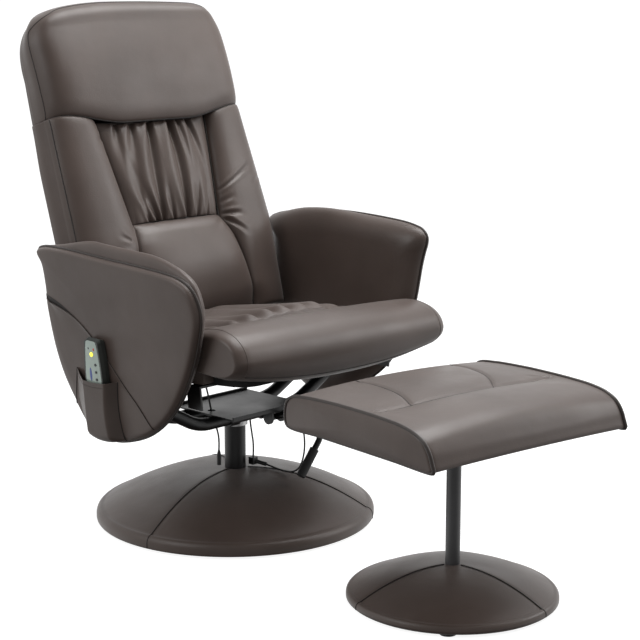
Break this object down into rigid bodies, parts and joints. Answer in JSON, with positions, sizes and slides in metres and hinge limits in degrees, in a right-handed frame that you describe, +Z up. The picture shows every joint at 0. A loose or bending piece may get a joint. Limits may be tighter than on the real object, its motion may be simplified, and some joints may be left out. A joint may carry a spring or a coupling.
{
  "type": "massage recliner with footstool",
  "caption": "Upholstered massage recliner that swivels on a round base, with padded arms, a reclining back, a lever, a hand control in a side pocket and a separate footstool.",
  "frame": {"origin": "on the floor under the chair's swivel axis", "axes": "+Z up; the seat faces -Y; +X is the side of the lever, -X the side of the pocket"},
  "size_m": [0.6501, 1.2104, 0.9887],
  "materials": {
    "upholstery": "soft sheen, dark taupe brown",
    "black_metal": "satin black",
    "steel": "zinc plated",
    "board": "raw plywood",
    "black_rubber": "matte",
    "black_plastic": "satin",
    "handset_shell": "satin grey",
    "handset_face": "silver green",
    "circuit": "laminate",
    "yellow_button": "gloss yellow",
    "dark_button": "gloss"
  },
  "bodies": {
    "base": {"base_glides": "black_rubber", "base_board": "board", "base_pan": "black_metal", "base_cover": "upholstery", "column_tube": "black_metal", "column_flange": "black_metal", "base_bolts": "steel", "swivel_bushes": "black_plastic", "thrust_washer": "black_plastic"},
    "seat": {"swivel_spindle": "steel", "mechanism_plate": "black_metal", "front_bow": "black_metal", "rear_bow": "black_metal", "bow_saddles": "black_metal", "left_arm_inner": "upholstery", "left_arm_board": "board", "left_arm_outer": "upholstery", "right_arm_inner": "upholstery", "right_arm_board": "board", "right_arm_outer": "upholstery", "bow_flanges": "black_metal", "arm_bolts": "steel", "seat_cushion": "upholstery", "seat_board": "board", "seat_motors": "black_plastic", "seat_brackets": "black_metal", "hinge_brackets": "black_metal", "hinge_pins": "steel", "lever_bracket": "black_metal", "remote_pocket": "upholstery", "hanging_lead": "black_plastic", "lead_plug": "black_plastic", "supply_lead": "black_plastic", "inline_socket": "black_plastic", "handle_lead": "black_plastic"},
    "back": {"back_cushion": "upholstery", "gathered_panel": "upholstery", "lumbar_pad": "upholstery", "headrest_pad": "upholstery", "back_board": "board", "back_motors": "black_plastic", "back_panel": "upholstery", "back_brackets": "black_metal"},
    "lever": {"lever_rod": "black_metal", "lever_grip": "black_rubber"},
    "handset": {"handset_front": "handset_shell", "handset_rear": "handset_shell", "handset_face": "handset_face", "handset_circuit": "circuit"},
    "power_button": {"power_button": "yellow_button"},
    "zone_button_1": {"zone_button_1": "dark_button"},
    "zone_button_2": {"zone_button_2": "dark_button"},
    "zone_button_3": {"zone_button_3": "dark_button"},
    "stool": {"stool_glides": "black_rubber", "stool_pan": "black_metal", "stool_cover": "upholstery", "stool_column": "black_metal", "stool_top_plate": "black_metal", "stool_board": "board", "stool_cushion": "upholstery"}
  },
  "joints": [
    {"name": "swivel", "type": "hinge", "parent": "base", "child": "seat", "pos_m": [0, 0, 0.183], "axis": [0, 0, 1], "continuous": true},
    {"name": "back_recline", "type": "hinge", "parent": "seat", "child": "back", "pos_m": [0, 0.114, 0.365], "axis": [-1, 0, 0], "range_deg": [0, 25]},
    {"name": "lever_lift", "type": "hinge", "parent": "seat", "child": "lever", "pos_m": [0.024, -0.088, 0.211], "axis": [-1, 0, 0], "range_deg": [0, 12]},
    {"name": "handset_lift", "type": "slide", "parent": "seat", "child": "handset", "axis": [-0.0872, 0, 0.9962], "range_m": [0, 0.08]},
    {"name": "power_press", "type": "slide", "parent": "handset", "child": "power_button", "axis": [0.9962, 0, 0.0872], "range_m": [0, 0.0008], "stiffness_N_per_m": 500},
    {"name": "zone_press_1", "type": "slide", "parent": "handset", "child": "zone_button_1", "axis": [0.9962, 0, 0.0872], "range_m": [0, 0.0008], "stiffness_N_per_m": 500},
    {"name": "zone_press_2", "type": "slide", "parent": "handset", "child": "zone_button_2", "axis": [0.9962, 0, 0.0872], "range_m": [0, 0.0008], "stiffness_N_per_m": 500},
    {"name": "zone_press_3", "type": "slide", "parent": "handset", "child": "zone_button_3", "axis": [0.9962, 0, 0.0872], "range_m": [0, 0.0008], "stiffness_N_per_m": 500},
    {"name": "stool_slide", "type": "slide", "parent": "base", "child": "stool", "axis": [0, -1, 0], "range_m": [0, 0.3]}
  ]
}
